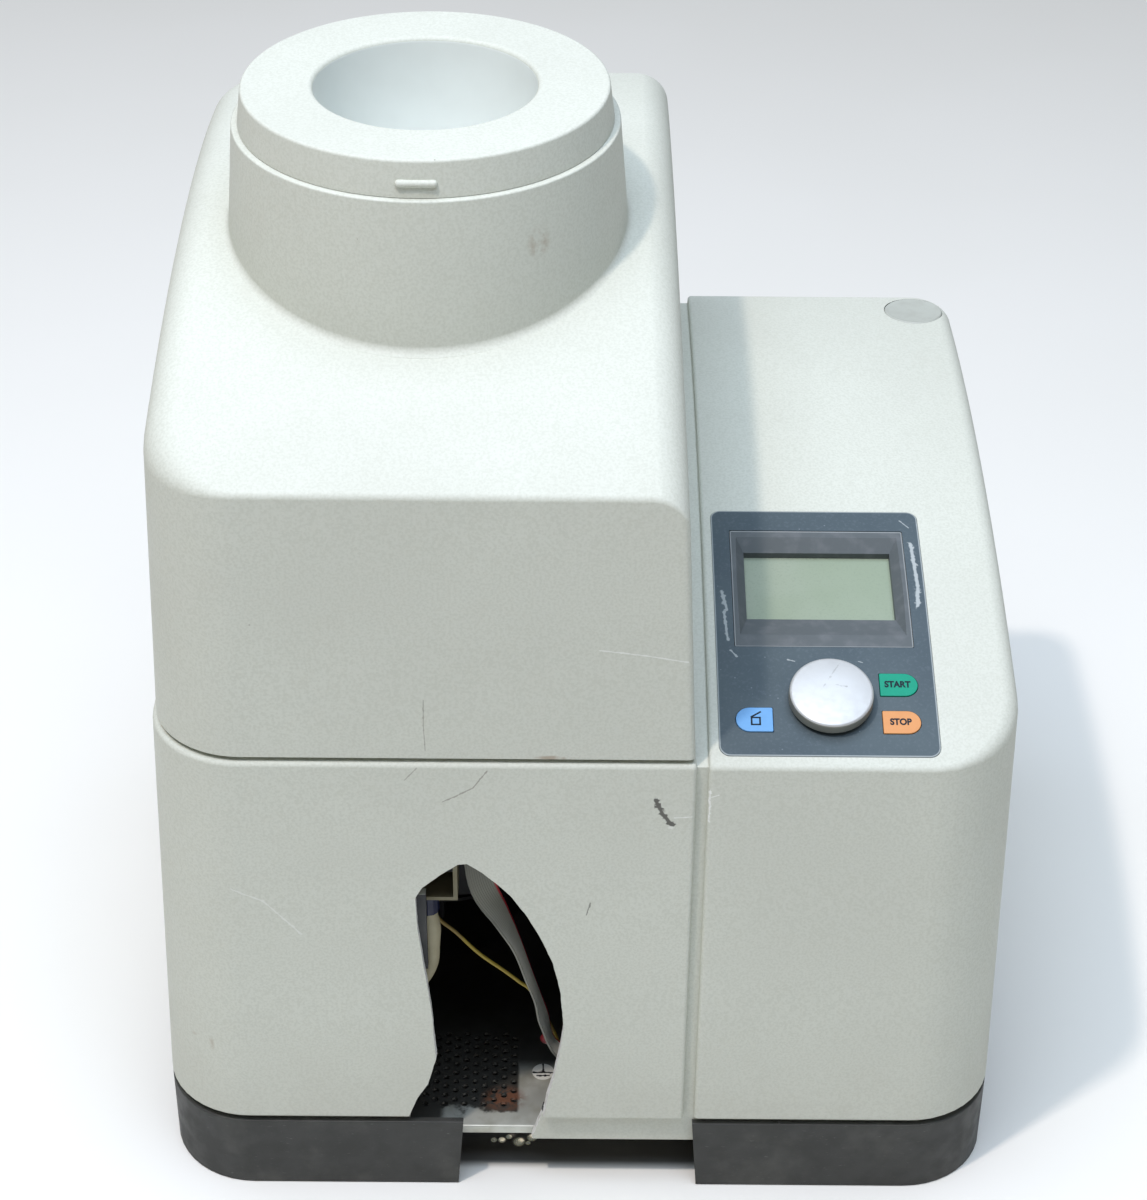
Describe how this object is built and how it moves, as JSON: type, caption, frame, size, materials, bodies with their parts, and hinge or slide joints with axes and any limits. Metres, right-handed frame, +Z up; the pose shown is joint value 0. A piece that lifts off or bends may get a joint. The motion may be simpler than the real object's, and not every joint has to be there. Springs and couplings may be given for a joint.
{
  "type": "ultra centrifugal mill",
  "caption": "Bench ultra centrifugal mill with a hinged hood, lift-out hopper, rotor and ring sieve in a cassette, control panel and a broken front shell.",
  "frame": {"origin": "on the bench, under the middle of the housing's outline", "axes": "+Z up, -Y towards the operator, +X to the operator's right"},
  "size_m": [0.41, 0.365, 0.515],
  "materials": {
    "housing_paint": "light grey structured paint, scratched and stained",
    "galvanised_sheet": "galvanised steel sheet with spots of rust",
    "foot_rubber": "matt black rubber",
    "skirt_plastic": "dark grey structured plastic, scuffed",
    "stainless": "turned and brushed stainless steel",
    "seal_rubber": "soft black rubber",
    "bright_steel": "ground steel",
    "cast_aluminium": "cast and machined aluminium",
    "black_plastic": "moulded black plastic",
    "motor_black": "black enamel on cast iron",
    "label_film": "blue-grey printed film with a fine texture",
    "bezel_grey": "satin grey moulding",
    "display_glass": "unlit grey-green display",
    "knob_silver": "satin silver with fine scratches",
    "key_blue": "blue key",
    "key_green": "green key",
    "key_orange": "orange key",
    "board_green": "green circuit board",
    "cap_grey": "grey moulded cap",
    "cable_grey": "grey ribbon cable with a red edge",
    "cable_earth": "yellow-green earth wire",
    "cable_beige": "cream lead sheath",
    "sleeve_blue": "dark blue sleeve",
    "bracket_beige": "cream painted sheet"
  },
  "bodies": {
    "base": {"lower_casing": "housing_paint", "base_tray": "galvanised_sheet", "foot_front_left": "foot_rubber", "foot_front_right": "foot_rubber", "foot_rear_left": "foot_rubber", "foot_rear_right": "foot_rubber", "left_skirt": "skirt_plastic", "right_skirt": "skirt_plastic", "hinge_bracket_left": "galvanised_sheet", "hinge_bracket_right": "galvanised_sheet", "hinge_pin_left": "bright_steel", "hinge_pin_right": "bright_steel", "chamber_bowl": "cast_aluminium", "cassette_pan": "stainless", "cassette_lid": "stainless", "ring_sieve": "stainless", "shaft_seal": "seal_rubber", "motor_housing": "motor_black", "motor_carrier": "cast_aluminium", "upper_bearing": "bright_steel", "lower_bearing": "bright_steel", "rubber_buffer_1": "seal_rubber", "rubber_buffer_2": "seal_rubber", "rubber_buffer_3": "seal_rubber", "lock_drive": "black_plastic", "control_label": "label_film", "display_bezel": "bezel_grey", "lcd_module": "display_glass", "encoder_body": "black_plastic", "control_board": "board_green", "socket_tube": "black_plastic", "inverter_case": "galvanised_sheet", "heat_sink": "cast_aluminium", "rear_panel": "galvanised_sheet", "rear_grille": "black_plastic", "power_entry": "black_plastic", "ribbon_cable": "cable_grey", "earth_wire": "cable_earth", "motor_lead": "cable_beige", "lead_sleeve": "sleeve_blue", "cable_bracket": "bracket_beige"},
    "hood": {"hood_shell": "housing_paint", "hood_liner": "stainless", "hood_seal": "seal_rubber", "hood_catch": "stainless", "hinge_arm_left": "galvanised_sheet", "hinge_arm_right": "galvanised_sheet"},
    "hopper": {"hopper_insert": "housing_paint"},
    "rotor": {"mill_rotor": "stainless", "motor_shaft": "bright_steel", "cooling_fan": "black_plastic"},
    "encoder": {"encoder_shaft": "bright_steel"},
    "knob": {"control_knob": "knob_silver"},
    "lid_button": {"lid_key": "key_blue"},
    "start_button": {"start_key": "key_green"},
    "stop_button": {"stop_key": "key_orange"},
    "cap": {"socket_cap": "cap_grey"},
    "rocker": {"mains_rocker": "black_plastic"},
    "fuse_holder": {"fuse_drawer": "black_plastic"},
    "bolt": {"lock_bolt": "bright_steel"}
  },
  "joints": [
    {"name": "hood_open", "type": "hinge", "parent": "base", "child": "hood", "pos_m": [0, 0.172, 0.256], "axis": [-1, 0, 0], "range_deg": [0, 65]},
    {"name": "hopper_lift", "type": "slide", "parent": "hood", "child": "hopper", "axis": [0, 0, 1], "range_m": [0, 0.06]},
    {"name": "rotor_spin", "type": "hinge", "parent": "base", "child": "rotor", "pos_m": [-0.0724, -0.0089, 0.2], "axis": [0, 0, 1], "continuous": true},
    {"name": "knob_press", "type": "slide", "parent": "base", "child": "encoder", "axis": [0, 0.3081, -0.9514], "range_m": [0, 0.0006], "stiffness_N_per_m": 3000, "springref_m": -0.0006},
    {"name": "knob_turn", "type": "hinge", "parent": "encoder", "child": "knob", "pos_m": [0.1123, -0.144, 0.27336], "axis": [0, -0.3081, 0.9514], "continuous": true},
    {"name": "lid_key_press", "type": "slide", "parent": "base", "child": "lid_button", "axis": [0, 0.3189, -0.9478], "range_m": [0, 0.0005], "stiffness_N_per_m": 800, "springref_m": -0.0005},
    {"name": "start_key_press", "type": "slide", "parent": "base", "child": "start_button", "axis": [0, 0.298, -0.9546], "range_m": [0, 0.0005], "stiffness_N_per_m": 800, "springref_m": -0.0005},
    {"name": "stop_key_press", "type": "slide", "parent": "base", "child": "stop_button", "axis": [0, 0.3199, -0.9474], "range_m": [0, 0.0005], "stiffness_N_per_m": 800, "springref_m": -0.0005},
    {"name": "cap_pull", "type": "slide", "parent": "base", "child": "cap", "axis": [0, 0.0643, 0.9979], "range_m": [0, 0.02]},
    {"name": "rocker_tilt", "type": "hinge", "parent": "base", "child": "rocker", "pos_m": [0.118, 0.17438, 0.122], "axis": [1, 0, 0], "range_deg": [-12, 0]},
    {"name": "fuse_drawer_pull", "type": "slide", "parent": "base", "child": "fuse_holder", "axis": [0, 1, 0], "range_m": [0, 0.02]},
    {"name": "lock_bolt_slide", "type": "slide", "parent": "base", "child": "bolt", "axis": [0, -1, 0], "range_m": [0, 0.012]}
  ]
}
